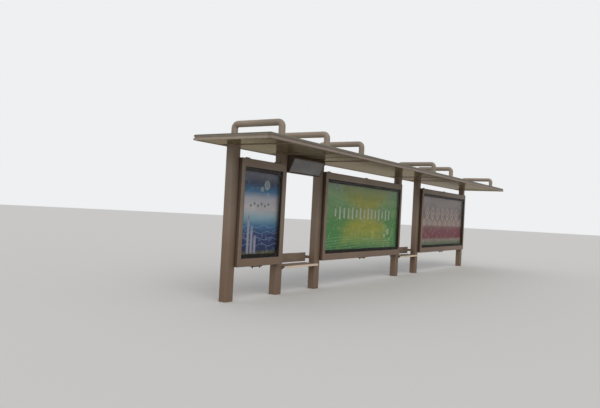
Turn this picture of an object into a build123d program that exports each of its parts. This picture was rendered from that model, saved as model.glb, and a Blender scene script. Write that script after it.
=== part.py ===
"""Bus shelter, in millimetres, +Z up.

X runs along the shelter from the first post, -Y faces the road, and Z = 0 is the ground.
The origin is the middle of the first post's foot.
"""
from build123d import *
from math import cos, radians, sin
import os

# Row of posts: a short poster bay, then a bench bay and a long poster bay, twice
short_poster_bay = 1430.0
bench_bay = 1380.0
long_poster_bay = 4140.0

# Posts
post_width = 210.0
post_depth = 150.0
post_corner = 20.0

# Roof
soffit_height = 2659.0
roof_front_reach = 1256.0
roof_rear_reach = 322.0
roof_end_overhang = 650.0

# Fascia section, u inwards from the outer face and w upwards from the underside
fascia_height = 68.0
fascia_flange = 45.0
fascia_plate = 4.0
fascia_web = 6.0
fascia_band = 36.0
fascia_groove = 8.0
fascia_set_back = 16.0
fascia_upper_step = 13.0
fascia_lip = 6.0
fascia_nose_radius = 3.0

# Ribs that cross the roof over the posts
rib_width = 60.0
rib_drop_at_post = 6.0
rib_drop_at_edge = 1.0
rib_flange_width = 130.0
rib_flange_thickness = 8.0

# Roof skins
soffit_thickness = 4.0
cover_front_rise = 28.0
cover_rear_rise = 24.0
cover_nose = 18.0
cover_inset = 6.0
cover_seam = 2.0
panel_clearance = 0.3

# Hoops over the roof
hoop_diameter = 114.0
hoop_sides = 16
hoop_bend_steps = 6
hoop_rise = 283.0
hoop_front_leg = -979.0
hoop_bend_radius = 75.0
hoop_notch_clearance = 2.0

# Poster cases
case_bottom = 585.0
case_head_gap = 209.0
case_wall = 4.0
case_front = -91.0
case_back = 40.0
case_side_clearance = 0.3
poster_thickness = 6.0
poster_set_back = 14.0

# Poster case doors
door_lap = 38.0
door_front = -163.0
door_gap = 5.0
door_stile = 85.0
door_rail = 140.0
door_corner = 6.0
glass_thickness = 6.0
glass_set_back = 23.0
glass_rebate = 12.0
glass_clearance = 0.3

# Door hinges
hinge_pin_radius = 5.0
hinge_pin_clearance = 0.08
hinge_knuckle_radius = 10.0
hinge_knuckle_length = 60.0
hinge_ear_length = 24.0
hinge_ear_chamfer = 5.0
hinge_end_gap = 1.0
hinge_rise = 13.0
hinge_spacing = 1700.0
hinge_end_inset = 180.0

# Lock bars under the cases
lock_bar_length = 300.0
lock_bar_depth = 50.0
lock_bar_height = 26.0
lock_bar_wall = 4.0
lock_spacing = 220.0
lock_barrel_radius = 13.0
lock_barrel_drop = 22.0

# Benches
seat_height = 535.0
seat_front = -165.0
seat_back = 185.0
seat_thickness = 5.0
seat_lip = 42.0
seat_nose_radius = 18.0
backrest_bottom = 560.0
backrest_top = 741.0
backrest_front = 150.0
backrest_thickness = 24.0
backrest_roll = 8.0
bracket_thickness = 14.0
bracket_depth = 60.0
backrest_arm_height = 60.0
backrest_arm_thickness = 12.0

# Electronic sign
sign_side_gap = 8.0
sign_head_gap = 5.0
sign_brow_height = 50.0
sign_brow_depth = 42.0
sign_face_height = 310.0
sign_front = -227.0
sign_back = -15.0
sign_lean = 24.4
sign_rim = 16.0
sign_screen_recess = 6.0
sign_screen_thickness = 4.0
sign_pad_height = 90.0
sign_pad_depth = 32.0
sign_pad_inset = 4.0
sign_pad_drop = 120.0
screen_clearance = 0.3

# Places worked out from the sizes above
bays = [short_poster_bay, bench_bay, long_poster_bay, bench_bay, long_poster_bay]
post_places = [sum(bays[:count]) for count in range(len(bays) + 1)]
poster_bays = [0, 2, 4]
bench_bays = [1, 3]
sign_bay = 1
roof_near = post_places[0] - roof_end_overhang
roof_far = post_places[-1] + roof_end_overhang
roof_under = soffit_height - fascia_plate
fascia_top = roof_under + fascia_height
hoop_height = fascia_top + hoop_rise
case_top = soffit_height - case_head_gap
sign_top = soffit_height - sign_head_gap
sign_brow = sign_top - sign_brow_height
door_back = case_front - door_gap
hinge_y = case_front - door_gap / 2
hinge_z = case_top + hinge_rise


def block(x0, x1, y0, y1, z0, z1):
    """A block between two corners."""
    size = Box(x1 - x0, y1 - y0, z1 - z0, align=(Align.MIN, Align.MIN, Align.MIN))
    return Pos(x0, y0, z0) * size


def across(points, x0, x1):
    """A side profile of (y, z) points, run along X from x0 to x1."""
    outline = Polyline(*[(x0, y, z) for y, z in points], close=True)
    return extrude(make_face(outline), amount=x1 - x0, dir=(1, 0, 0))


def along_x(radius, x0, x1, y, z):
    """A round bar along X."""
    return Pos((x0 + x1) / 2, y, z) * Rot(0, 90, 0) * Cylinder(radius, x1 - x0)


def bay_faces(bay):
    """The facing sides of the two posts of a bay."""
    return post_places[bay] + post_width / 2, post_places[bay + 1] - post_width / 2


def make_post(x):
    """A rounded column from the ground up to the soffit."""
    section = RectangleRounded(post_width, post_depth, post_corner)
    return Pos(x, 0, 0) * extrude(section, amount=soffit_height)


def fascia_section():
    """The fascia's channel: a lower band, a groove, an upper band and a top lip."""
    upper_start = fascia_band + fascia_groove
    upper_end = fascia_height - fascia_lip
    inner = fascia_set_back + fascia_web
    return [
        (0, fascia_nose_radius),
        (0, fascia_band),
        (fascia_set_back, fascia_band),
        (fascia_set_back, upper_start),
        (fascia_upper_step, upper_start),
        (fascia_upper_step, upper_end),
        (0, upper_end),
        (0, fascia_height),
        (fascia_flange, fascia_height),
        (fascia_flange, fascia_height - fascia_plate),
        (inner, fascia_height - fascia_plate),
        (inner, fascia_plate),
        (fascia_flange, fascia_plate),
        (fascia_flange, 0),
        (fascia_nose_radius, 0),
    ]


def make_fascia(side):
    """One mitred length of fascia, on the front, rear, near or far side of the roof."""
    x0, x1 = roof_near, roof_far
    y0, y1 = -roof_front_reach, roof_rear_reach
    inset = fascia_flange
    if side in ("front", "rear"):
        edge, inward = (y0, 1) if side == "front" else (y1, -1)
        points = [(x0, edge + inward * u, roof_under + w) for u, w in fascia_section()]
        run, direction = x1 - x0, (1, 0, 0)
        plan = [(x0, edge), (x1, edge), (x1 - inset, edge + inward * inset), (x0 + inset, edge + inward * inset)]
    else:
        edge, inward = (x0, 1) if side == "near" else (x1, -1)
        points = [(edge + inward * u, y0, roof_under + w) for u, w in fascia_section()]
        run, direction = y1 - y0, (0, 1, 0)
        plan = [(edge, y0), (edge, y1), (edge + inward * inset, y1 - inset), (edge + inward * inset, y0 + inset)]
    length = extrude(make_face(Polyline(*points, close=True)), amount=run, dir=direction)
    mitre = extrude(make_face(Polyline(*plan, close=True)), amount=fascia_height, dir=(0, 0, 1))
    return length & (Pos(0, 0, roof_under) * mitre)


def make_rib(x):
    """A roof rib that saddles its post and tapers to the edges, with a top flange."""
    front, rear = -roof_front_reach, roof_rear_reach
    inner = fascia_set_back + fascia_web
    front_post, rear_post = -post_depth / 2, post_depth / 2
    top = fascia_top
    under_flange = top - fascia_plate
    outline = [
        (front + inner, soffit_height),
        (front + inner, under_flange),
        (front + fascia_flange, under_flange),
        (front + fascia_flange, top),
        (rear - fascia_flange, top),
        (rear - fascia_flange, under_flange),
        (rear - inner, under_flange),
        (rear - inner, soffit_height),
        (rear - fascia_flange, soffit_height),
        (rear - fascia_flange, roof_under - rib_drop_at_edge),
        (rear_post, roof_under - rib_drop_at_post),
        (rear_post, soffit_height),
        (front_post, soffit_height),
        (front_post, roof_under - rib_drop_at_post),
        (front + fascia_flange, roof_under - rib_drop_at_edge),
        (front + fascia_flange, soffit_height),
    ]
    web = across(outline, x - rib_width / 2, x + rib_width / 2)
    flange = block(
        x - rib_flange_width / 2,
        x + rib_flange_width / 2,
        front + fascia_flange,
        rear - fascia_flange,
        top - rib_flange_thickness,
        top,
    )
    return web + flange


def roof_fields(gap_at_posts, end_inset):
    """The spans of X between the ribs' middles, less a gap, and out to the two ends."""
    starts = [roof_near + end_inset] + [x + gap_at_posts for x in post_places]
    ends = [x - gap_at_posts for x in post_places] + [roof_far - end_inset]
    return list(zip(starts, ends))


def make_soffit():
    """Ceiling panels that lie on the fascia's lower flange between the ribs."""
    inner = fascia_set_back + fascia_web + panel_clearance
    fields = roof_fields(rib_width / 2 + panel_clearance, inner)
    y0, y1 = -roof_front_reach + inner, roof_rear_reach - inner
    panels = [block(x0, x1, y0, y1, soffit_height, soffit_height + soffit_thickness) for x0, x1 in fields]
    return Compound(panels)


def make_cover_panel(x0, x1):
    """One panel of the roof covering, which falls to the rear and has rounded front and rear edges."""
    front, rear = -roof_front_reach + cover_inset, roof_rear_reach - cover_inset
    base = fascia_top
    outline = [
        (front, base),
        (front, base + cover_front_rise),
        (rear, base + cover_rear_rise),
        (rear, base),
    ]
    panel = across(outline, x0, x1)
    nose_edges = panel.edges().filter_by(Axis.X).sort_by(Axis.Z)[-2:]
    return fillet(nose_edges, cover_nose)


def make_covers():
    """Roof covering panels, notched where the hoops' legs pass down to the ribs."""
    panels = [make_cover_panel(x0, x1) for x0, x1 in roof_fields(cover_seam / 2, cover_inset)]
    reach = hoop_diameter / 2 + hoop_notch_clearance
    top = fascia_top + cover_front_rise
    notches = [
        block(x - reach, x + reach, y - reach, y + reach, fascia_top, top)
        for x in post_places
        for y in (0, hoop_front_leg)
    ]
    return Compound([panel - notches for panel in panels])


def make_hoop(x):
    """A tube bent in short steps: up from over the post, forwards, and down near the roof's front edge."""
    corners = [
        (x, 0, fascia_top),
        (x, 0, hoop_height),
        (x, hoop_front_leg, hoop_height),
        (x, hoop_front_leg, fascia_top),
    ]
    stops = []
    for edge in FilletPolyline(*corners, radius=hoop_bend_radius).edges():
        steps = hoop_bend_steps if edge.geom_type == GeomType.CIRCLE else 1
        stops += [edge @ (step / steps) for step in range(steps)]
    path = Polyline(*stops, corners[-1])
    section = Plane(origin=corners[0], z_dir=(0, 0, 1)) * RegularPolygon(hoop_diameter / 2, hoop_sides)
    return sweep(section, path=path, transition=Transition.RIGHT)


def hinge_places(bay):
    """The middles of a door's hinges along X."""
    left, right = bay_faces(bay)
    first, last = left + hinge_end_inset, right - hinge_end_inset
    count = max(2, round((last - first) / hinge_spacing) + 1)
    return [first + (last - first) * place / (count - 1) for place in range(count)]


def make_hinge_ear(start):
    """A chamfered lug on the case's top edge that holds one end of a hinge pin."""
    radius, cut = hinge_knuckle_radius, hinge_ear_chamfer
    front, back = hinge_y - radius, hinge_y + 2 * radius
    low, high = hinge_z - radius, hinge_z + radius
    outline = [
        (front, low + cut),
        (front, high - cut),
        (front + cut, high),
        (back - radius, high),
        (back, case_top),
        (case_front, case_top),
        (front + cut, low),
    ]
    return across(outline, start, start + hinge_ear_length)


def make_lock_bar(x):
    """A channel under a case, open below, with the two barrels that the door's keys turn."""
    start, end = x - lock_bar_length / 2, x + lock_bar_length / 2
    back = case_front + lock_bar_depth
    low = case_bottom - lock_bar_height
    wall = lock_bar_wall
    bar = block(start, end, case_front, back, low, case_bottom)
    bar -= block(start, end, case_front + wall, back - wall, low, case_bottom - wall)
    middle = (case_front + back) / 2
    barrel_length = lock_bar_height + lock_barrel_drop
    for offset in (-lock_spacing / 2, lock_spacing / 2):
        bar += Pos(x + offset, middle, case_bottom - barrel_length / 2) * Cylinder(lock_barrel_radius, barrel_length)
    return bar


def make_cabinet(bay):
    """A case's open-fronted steel tray, with its lock bar and the fixed ears and pins of its door's hinges."""
    left, right = bay_faces(bay)
    left += case_side_clearance
    right -= case_side_clearance
    tray = block(left, right, case_front, case_back, case_bottom, case_top)
    inside = block(
        left + case_wall, right - case_wall, case_front, case_back - case_wall, case_bottom + case_wall, case_top - case_wall
    )
    tray = tray - inside
    reach = hinge_knuckle_length / 2 + hinge_end_gap
    for x in hinge_places(bay):
        tray += make_hinge_ear(x - reach - hinge_ear_length)
        tray += make_hinge_ear(x + reach)
        tray += along_x(hinge_pin_radius, x - reach, x + reach, hinge_y, hinge_z)
    return tray + make_lock_bar((left + right) / 2)


def make_poster(bay):
    """The lit panel that closes the front of a case."""
    left, right = bay_faces(bay)
    gap = case_side_clearance + case_wall
    front = case_front + poster_set_back
    return block(left + gap, right - gap, front, front + poster_thickness, case_bottom + case_wall, case_top - case_wall)


def door_outline(bay):
    """Outer X limits of a door, which laps the fronts of its posts."""
    left, right = bay_faces(bay)
    return left - door_lap, right + door_lap


def make_door_frame(bay):
    """A door's frame with a chamfered front, rebated for its glass, with hinge knuckles above."""
    left, right = door_outline(bay)
    frame = block(left, right, door_front, door_back, case_bottom, case_top)
    frame = chamfer(frame.faces().sort_by(Axis.Y)[0].edges(), door_corner)
    x0, x1 = left + door_stile, right - door_stile
    z0, z1 = case_bottom + door_rail, case_top - door_rail
    frame -= block(x0, x1, door_front, door_back, z0, z1)
    rebate = glass_rebate
    frame -= block(x0 - rebate, x1 + rebate, door_front + glass_set_back, door_back, z0 - rebate, z1 + rebate)
    for x in hinge_places(bay):
        start, end = x - hinge_knuckle_length / 2, x + hinge_knuckle_length / 2
        frame += block(start, end, hinge_y - 2 * hinge_knuckle_radius, hinge_y, case_top - door_corner, hinge_z)
        frame += along_x(hinge_knuckle_radius, start, end, hinge_y, hinge_z)
        frame -= block(start, end, door_back, hinge_y + hinge_knuckle_radius, case_top - door_corner, hinge_z - hinge_knuckle_radius)
        frame -= along_x(hinge_pin_radius + hinge_pin_clearance, start, end, hinge_y, hinge_z)
    return frame


def make_glass(bay):
    """A door's glass, seated in the frame's rebate."""
    left, right = door_outline(bay)
    x_inset = door_stile - glass_rebate + glass_clearance
    z_inset = door_rail - glass_rebate + glass_clearance
    front = door_front + glass_set_back
    return block(
        left + x_inset, right - x_inset, front, front + glass_thickness, case_bottom + z_inset, case_top - z_inset
    )


def make_seat(bay):
    """A bent sheet seat with turned-down front and rear edges."""
    left, right = bay_faces(bay)
    low = seat_height - seat_lip
    pan = block(left, right, seat_front, seat_back, low, seat_height)
    long_edges = pan.edges().filter_by(Axis.X).group_by(Axis.Z)[-1]
    pan = fillet(long_edges, seat_nose_radius)
    wall = seat_thickness
    hollow = block(left, right, seat_front + wall, seat_back - wall, low, seat_height - wall)
    hollow_edges = hollow.edges().filter_by(Axis.X).group_by(Axis.Z)[-1]
    return pan - fillet(hollow_edges, seat_nose_radius - wall)


def make_backrest(bay):
    """A narrow backrest board with rounded edges."""
    left, right = bay_faces(bay)
    rail = block(
        left + backrest_arm_thickness,
        right - backrest_arm_thickness,
        backrest_front,
        backrest_front + backrest_thickness,
        backrest_bottom,
        backrest_top,
    )
    return fillet(rail.edges().filter_by(Axis.X), backrest_roll)


def make_brackets(bay):
    """End plates on the posts that carry the seat's underside and the backrest."""
    left, right = bay_faces(bay)
    under = seat_height - seat_thickness
    outline = [
        (seat_front + seat_lip, under),
        (seat_front + seat_lip, under - bracket_depth / 3),
        (-post_depth / 2, under - bracket_depth),
        (post_depth / 2, under - bracket_depth),
        (seat_back - seat_lip, under - bracket_depth / 3),
        (seat_back - seat_lip, under),
    ]
    arm_low = (backrest_bottom + backrest_top - backrest_arm_height) / 2
    arm_high = arm_low + backrest_arm_height
    arm_back = backrest_front + backrest_thickness
    plates = []
    for x0 in (left, right - bracket_thickness):
        plates.append(across(outline, x0, x0 + bracket_thickness))
    for x0 in (left, right - backrest_arm_thickness):
        plates.append(block(x0, x0 + backrest_arm_thickness, 0, arm_back, arm_low, arm_high))
    return Compound(plates)


def sign_ends():
    """The X limits of the sign's housing, just clear of its posts."""
    left, right = bay_faces(sign_bay)
    return left + sign_side_gap, right - sign_side_gap


def sign_face(edge, near, far):
    """A slab along the sign's leaning front, short of the housing's outline by an edge, at a range of depths."""
    start, end = sign_ends()
    half = (end - start) / 2 - edge
    slab = block(-half, half, near, far, edge - sign_face_height, -edge)
    return Pos((start + end) / 2, sign_front, sign_brow) * Rot(sign_lean, 0, 0) * slab


def make_sign_housing():
    """The electronic sign's housing, with a sloped brow over a leaning front and a mounting pad to each post."""
    left, right = bay_faces(sign_bay)
    start, end = sign_ends()
    foot_y = sign_front + sign_face_height * sin(radians(sign_lean))
    foot_z = sign_brow - sign_face_height * cos(radians(sign_lean))
    outline = [
        (sign_front + sign_brow_depth, sign_top),
        (sign_front, sign_brow),
        (foot_y, foot_z),
        (sign_back, foot_z),
        (sign_back, sign_top),
    ]
    housing = across(outline, start, end)
    housing -= sign_face(sign_rim, 0, sign_screen_recess + sign_screen_thickness)
    high = sign_top - sign_pad_drop
    pad_back = sign_back - sign_pad_inset
    for x0, x1 in ((left, start), (end, right)):
        housing += block(x0, x1, pad_back - sign_pad_depth, pad_back, high - sign_pad_height, high)
    return housing


def make_sign_screen():
    """The display set into the housing's front."""
    depth = sign_screen_recess + sign_screen_thickness
    return sign_face(sign_rim + screen_clearance, sign_screen_recess, depth)


def build_nodes():
    """Every named piece of the shelter."""
    nodes = {}
    for number, x in enumerate(post_places, 1):
        nodes[f"post_{number}"] = make_post(x)
        nodes[f"roof_rib_{number}"] = make_rib(x)
        nodes[f"hoop_{number}"] = make_hoop(x)
    for side in ("front", "rear", "near", "far"):
        nodes[f"{side}_fascia"] = make_fascia(side)
    nodes["soffit_panels"] = make_soffit()
    nodes["roof_covering"] = make_covers()
    for number, bay in enumerate(poster_bays, 1):
        nodes[f"case_{number}"] = make_cabinet(bay)
        nodes[f"poster_{number}"] = make_poster(bay)
        nodes[f"door_frame_{number}"] = make_door_frame(bay)
        nodes[f"door_glass_{number}"] = make_glass(bay)
    for number, bay in enumerate(bench_bays, 1):
        nodes[f"seat_{number}"] = make_seat(bay)
        nodes[f"backrest_{number}"] = make_backrest(bay)
        nodes[f"bench_brackets_{number}"] = make_brackets(bay)
    nodes["sign_housing"] = make_sign_housing()
    nodes["sign_screen"] = make_sign_screen()
    return nodes


os.makedirs("parts", exist_ok=True)
for name, shape in build_nodes().items():
    export_step(shape, f"parts/{name}.step")
    print(name, round(shape.volume / 1e6, 3), "dm3")
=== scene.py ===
# %% [markdown]
# # A bus shelter in painted steel
#
# The shelter is a long row of six posts under a thin flat roof, with bent tubes over the roof, three glazed
# poster cases, two benches and a leaning display. Its shapes come from a CAD model. This lesson gives them
# their paint, prints, glass and small fittings.
#
# The frame is loaded first, so that every piece made later can be set against it. One metre here is one
# metre on the shelter. X runs along the row, -Y is its open front and Z is up.

import math
from itertools import product

import bmesh
import bpy
from mathutils import Matrix, Vector


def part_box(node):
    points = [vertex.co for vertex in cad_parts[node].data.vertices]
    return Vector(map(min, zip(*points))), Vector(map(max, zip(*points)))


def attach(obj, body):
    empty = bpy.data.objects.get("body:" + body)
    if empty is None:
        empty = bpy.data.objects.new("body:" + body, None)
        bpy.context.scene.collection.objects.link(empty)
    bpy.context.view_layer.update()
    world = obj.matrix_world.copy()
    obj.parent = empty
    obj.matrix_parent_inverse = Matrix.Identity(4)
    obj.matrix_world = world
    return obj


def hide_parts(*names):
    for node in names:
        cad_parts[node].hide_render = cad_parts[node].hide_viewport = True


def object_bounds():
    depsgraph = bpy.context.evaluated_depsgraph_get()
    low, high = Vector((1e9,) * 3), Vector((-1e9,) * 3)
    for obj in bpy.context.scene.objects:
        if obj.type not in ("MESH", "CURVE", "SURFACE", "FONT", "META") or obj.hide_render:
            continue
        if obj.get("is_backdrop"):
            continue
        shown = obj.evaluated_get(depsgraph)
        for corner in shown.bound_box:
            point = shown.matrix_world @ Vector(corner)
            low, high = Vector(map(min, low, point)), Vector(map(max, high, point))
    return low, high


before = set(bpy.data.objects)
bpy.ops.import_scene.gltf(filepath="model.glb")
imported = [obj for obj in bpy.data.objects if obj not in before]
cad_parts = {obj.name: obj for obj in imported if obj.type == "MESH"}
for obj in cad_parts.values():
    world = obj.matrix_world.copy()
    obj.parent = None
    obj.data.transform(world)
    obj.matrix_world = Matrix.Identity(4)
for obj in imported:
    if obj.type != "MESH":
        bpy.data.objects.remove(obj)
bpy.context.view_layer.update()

# %% [markdown]
# ## The camera
#
# A camera could be aimed by eye, but here its place and turn were worked out from the feet of the posts and
# the line of the roof. It stands by the near end at eye level and looks along the row, and it leans by
# three degrees. A camera looks along its own -Z, with its own X to the right and Y up, so its matrix is
# built from those three directions.

# %% Stand the camera
IMAGE_WIDTH = 600
FOCAL_PIXELS = 582.5
SENSOR_WIDTH = 36
FAR_END = 500
EYE = Vector((-7.642, -6.356, 1.57))
YAW, PITCH, ROLL = math.radians(57.02), math.radians(0.82), math.radians(2.99)

ahead = Vector((math.sin(YAW) * math.cos(PITCH), math.cos(YAW) * math.cos(PITCH), math.sin(PITCH)))
level = Vector((math.cos(YAW), -math.sin(YAW), 0))
upright = level.cross(ahead)
across = level * math.cos(ROLL) + upright * math.sin(ROLL)
upwards = upright * math.cos(ROLL) - level * math.sin(ROLL)

camera_data = bpy.data.cameras.new("view_along_the_row")
camera_data.sensor_width = SENSOR_WIDTH
camera_data.lens = FOCAL_PIXELS / IMAGE_WIDTH * SENSOR_WIDTH
camera_data.clip_end = FAR_END
camera = bpy.data.objects.new("view_along_the_row", camera_data)
turn = Matrix((across, upwards, -ahead)).transposed().to_4x4()
camera.matrix_world = Matrix.Translation(EYE) @ turn
bpy.context.scene.collection.objects.link(camera)
bpy.context.scene.camera = camera
print("lens in millimetres:", round(camera_data.lens, 2))

# %% [markdown]
# ## Writing materials as sums
#
# A material is a web of nodes. Wiring each node by hand is slow to read, so a small class stands for the
# output of a node and lets Python's own signs do the wiring: adding two of them makes a Math node. A second
# class holds the web, with one method that makes any other node.


# %% A wire that can be added and multiplied
class Wire:
    """The output of a node, which Python's signs join to new Math nodes."""

    def __init__(self, web, socket):
        self.web = web
        self.socket = socket

    def out(self, name):
        """Another output of the same node."""
        return Wire(self.web, self.socket.node.outputs[name])

    def maths(self, operation, *others):
        """A Math node that takes this wire first and then the others."""
        return self.web.node("Math", {"operation": operation}, dict(enumerate((self, *others))))

    def __add__(self, other):
        return self.maths("ADD", other)

    def __mul__(self, other):
        return self.maths("MULTIPLY", other)

    def __sub__(self, other):
        return self.maths("SUBTRACT", other)

    def __truediv__(self, other):
        return self.maths("DIVIDE", other)

    def __rsub__(self, other):
        return self.web.node("Math", {"operation": "SUBTRACT"}, {0: other, 1: self})

    def __abs__(self):
        return self.maths("ABSOLUTE")

    __radd__ = __add__
    __rmul__ = __mul__

    def least(self, other):
        return self.maths("MINIMUM", other)

    def most(self, other):
        return self.maths("MAXIMUM", other)

    def part(self):
        """What is left over after the whole number."""
        return self.maths("FRACT")

    def ease(self, low, high):
        """0 below the first value and 1 above the second, with a smooth step between them."""
        steps = {0: self, 1: low, 2: high, 3: 0.0, 4: 1.0}
        return self.web.node("MapRange", {"interpolation_type": "SMOOTHSTEP"}, steps)

    def within(self, low, high, soft):
        """1 between two values, with soft edges."""
        return self.ease(low - soft, low + soft) * (1 - self.ease(high - soft, high + soft))


print("a wire takes + - * / and abs")


# %% A web that makes nodes
class Web:
    """The nodes of one material, or of the sky."""

    def __init__(self, tree):
        self.tree = tree

    def node(self, kind, settings=None, sockets=None, out=0):
        """Makes a node, with its settings first and then the values or wires of its sockets."""
        made = self.tree.nodes.new("ShaderNode" + kind)
        for key, value in (settings or {}).items():
            if key == "stops":
                self.set_stops(made.color_ramp.elements, value)
            else:
                setattr(made, key, value)
        for key, value in (sockets or {}).items():
            self.plug(value, made.inputs[key])
        return Wire(self, made.outputs[out])

    def set_stops(self, stops, wanted):
        """Gives a colour ramp its stops, each a place and a colour."""
        while len(stops) < len(wanted):
            stops.new(0.5)
        for stop, (place, colour) in zip(stops, wanted):
            stop.position = place
            stop.color = colour

    def plug(self, value, socket):
        """Joins a wire to a socket, or sets the socket's own value."""
        if isinstance(value, Wire):
            self.tree.links.new(value.socket, socket)
        else:
            socket.default_value = value


print("a web makes any node from its kind")

# %% [markdown]
# ## A finish and its layers
#
# A painter lays one thin colour over another, and a finish here is written in the same way: it starts from
# one colour, and each layer has a mask that says where it covers. All patterns are read from the place of a
# point on its own object, in metres, so they are as large as the real ones and stay put when a part moves.


# %% A finish, which is one material
class Finish(Web):
    """A material with one Principled shader, and the colour that has been laid on it so far."""

    def __init__(self, name, colour=(1, 1, 1, 1), **constants):
        self.material = bpy.data.materials.new(name)
        self.material.use_nodes = True
        super().__init__(self.material.node_tree)
        self.shader = self.tree.nodes["Principled BSDF"]
        self.shader.inputs["Base Color"].default_value = colour
        self.tone = colour
        for socket, value in constants.items():
            self.shader.inputs[socket.replace("_", " ")].default_value = value
        self.place = self.node("TexCoord").out("Object")
        split = self.node("SeparateXYZ", {}, {0: self.place})
        self.x, self.y, self.z = split.out("X"), split.out("Y"), split.out("Z")

    def drive(self, socket, value):
        """Lets a wire vary one of the shader's sockets."""
        self.plug(value, self.shader.inputs[socket])

    def lay(self, mask, colour):
        """Lays a colour over the others, where the mask is 1."""
        self.tone = self.node("Mix", {"data_type": "RGBA"}, {0: mask, 6: self.tone, 7: colour}, out=2)
        self.drive("Base Color", self.tone)

    def noise(self, size, stretch=(1, 1, 1), detail=2.0):
        """Soft random patches about as wide as the size, in metres."""
        scaled = self.node("VectorMath", {"operation": "MULTIPLY"}, {0: self.place, 1: stretch})
        return self.node("TexNoise", {}, {"Vector": scaled, "Scale": 1 / size, "Detail": detail})

    def emboss(self, height, depth, strength=1.0):
        """Raises the surface by the depth, in metres, where the height is 1."""
        bump = self.node("Bump", {}, {"Height": height, "Distance": depth, "Strength": strength})
        self.drive("Normal", bump)


print("a finish has drive, lay, noise and emboss")


# %% Colours as a screen shows them
def linear(value):
    """One channel of a screen's colour, 0 to 255, as the linear value that a shader takes."""
    value /= 255
    return value / 12.92 if value < 0.04045 else ((value + 0.055) / 1.055) ** 2.4


def paint(red, green, blue):
    """A screen's colour made linear."""
    return (linear(red), linear(green), linear(blue), 1.0)


def shade(colour, share):
    """The same colour, darker with a share below 1 and paler with one above it."""
    return tuple(min(1, channel * share) for channel in colour[:3]) + (1,)


print("mid grey is", round(paint(128, 128, 128)[0], 3), "to a shader")

# %% [markdown]
# ## Painted steel
#
# The posts, ribs, hoops and door frames have a warm grey-brown powder coat. Such paint is never one colour:
# it clouds a little over a metre, rain leaves pale streaks down it, and a brown film of dust thickens
# towards the ground, with splashes and dried drops of mud on the lowest part. Years of use add hairline
# scratches and a few chips, and its skin has a fine orange peel. Hands and cleaning rub it pale along sharp
# edges: a Bevel node gives the normal as if each edge were rounded, and where that differs from the real
# one there is an edge. One function makes the coat, so that each kind of piece can have its own strength of
# each effect.

# %% Colours of dirt and wear
RAIN_MARK = paint(139, 128, 115)
DUST_FILM = paint(112, 88, 68)
SPLASHED_DIRT = paint(104, 82, 64)
DRIED_MUD = paint(150, 134, 116)
CHIPPED_PRIMER = paint(86, 62, 46)
RUBBED_PALE = paint(176, 166, 152)
EDGE_WIDTH = 0.004
print("edges rub pale over", EDGE_WIDTH * 1000, "mm")


# %% Scratches, chips and rubbed edges
def scratches(coat):
    """Hairlines in patches, some that run down and some that run along."""
    down = coat.noise(0.09, stretch=(1, 1, 0.12), detail=0).within(0.495, 0.499, 0.002)
    along = coat.noise(0.12, stretch=(0.1, 1, 1.6), detail=0).within(0.530, 0.533, 0.0015)
    return down.most(along) * coat.noise(0.12, detail=3).ease(0.52, 0.60)


def chipped(coat):
    """Small spots where the coat is gone, a few together."""
    return coat.noise(0.016, detail=2).ease(0.67, 0.70) * coat.noise(0.3).ease(0.46, 0.62)


def rubbed_edges(coat):
    """1 along sharp edges, in patches, where a rounded normal differs from the real one."""
    corner = coat.node("Bevel", {"samples": 4}, {"Radius": EDGE_WIDTH})
    facing = coat.node("NewGeometry").out("Normal")
    alike = coat.node("VectorMath", {"operation": "DOT_PRODUCT"}, {0: corner, 1: facing}).out("Value")
    return (1 - alike).ease(0.005, 0.08) * coat.noise(0.06, detail=4).ease(0.42, 0.6)


print("wear comes as scratches, chips and rubbed edges")


# %% Powder coat
def powder_coat(name, colour, dull=0.42, shine=0.5, streaks=0.5, dust=0.6, film=0.0):
    """A coat with its own dullness and shine, rain streaks, splashes near the ground and film of dust."""
    coat = Finish(name, shade(colour, 0.80), Specular_IOR_Level=shine)
    cloud = coat.noise(1.3, detail=3)
    fine = coat.noise(0.09, detail=4)
    coat.lay(cloud.ease(0.3, 0.7), shade(colour, 1.16))
    coat.lay(fine.ease(0.35, 0.75) * 0.35, colour)

    # Rain draws the noise out downwards, because the pattern is squeezed to a twentieth along Z.
    rain = coat.noise(0.035, stretch=(1, 1, 0.05), detail=3).ease(0.45, 0.72) * streaks
    coat.lay(rain * 0.45, RAIN_MARK)
    coat.lay((1 - coat.z.ease(0.2, 2.5)) * film, DUST_FILM)

    # Splashes fade out between 12 and 62 centimetres up, and clouds make that edge uneven.
    splash = coat.noise(0.018, detail=3)
    low = (1 - (coat.z + cloud * 0.3).ease(0.12, 0.62)) * (0.45 + splash * 0.9) * dust
    coat.lay(low.least(1.0) * 0.6, SPLASHED_DIRT)
    drops = coat.noise(0.014, detail=2).ease(0.54, 0.60) * low.least(1.0)
    coat.lay(drops * 0.7, DRIED_MUD)

    # Wear comes last, because it cuts through the dirt as well.
    hairs = scratches(coat)
    chips = chipped(coat)
    coat.lay(hairs * 0.5, shade(colour, 1.16))
    coat.lay(chips * 0.8, CHIPPED_PRIMER)
    coat.lay(rubbed_edges(coat) * 0.8, RUBBED_PALE)
    coat.drive("Roughness", dull + fine * 0.12 + low * 0.25 + hairs * 0.15)
    peel = coat.noise(0.0035, detail=1)
    coat.emboss(peel + fine * 0.5 - hairs * 0.4 - chips, 0.0004, 0.8)
    return coat


print("a powder coat has its own dullness, shine, streaks, dust and film")

# %% Frame, case and display paint
frame_paint = powder_coat("frame_powder_coat", paint(143, 128, 113), dust=0.35, film=0.78)
case_paint = powder_coat("case_dark_coat", paint(72, 60, 52), dull=0.5, streaks=0.12)
sign_paint = powder_coat("sign_dark_coat", paint(98, 86, 76), dull=0.45, streaks=0.1, dust=0.0)
print("nodes in a powder coat:", len(frame_paint.tree.nodes))

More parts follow.
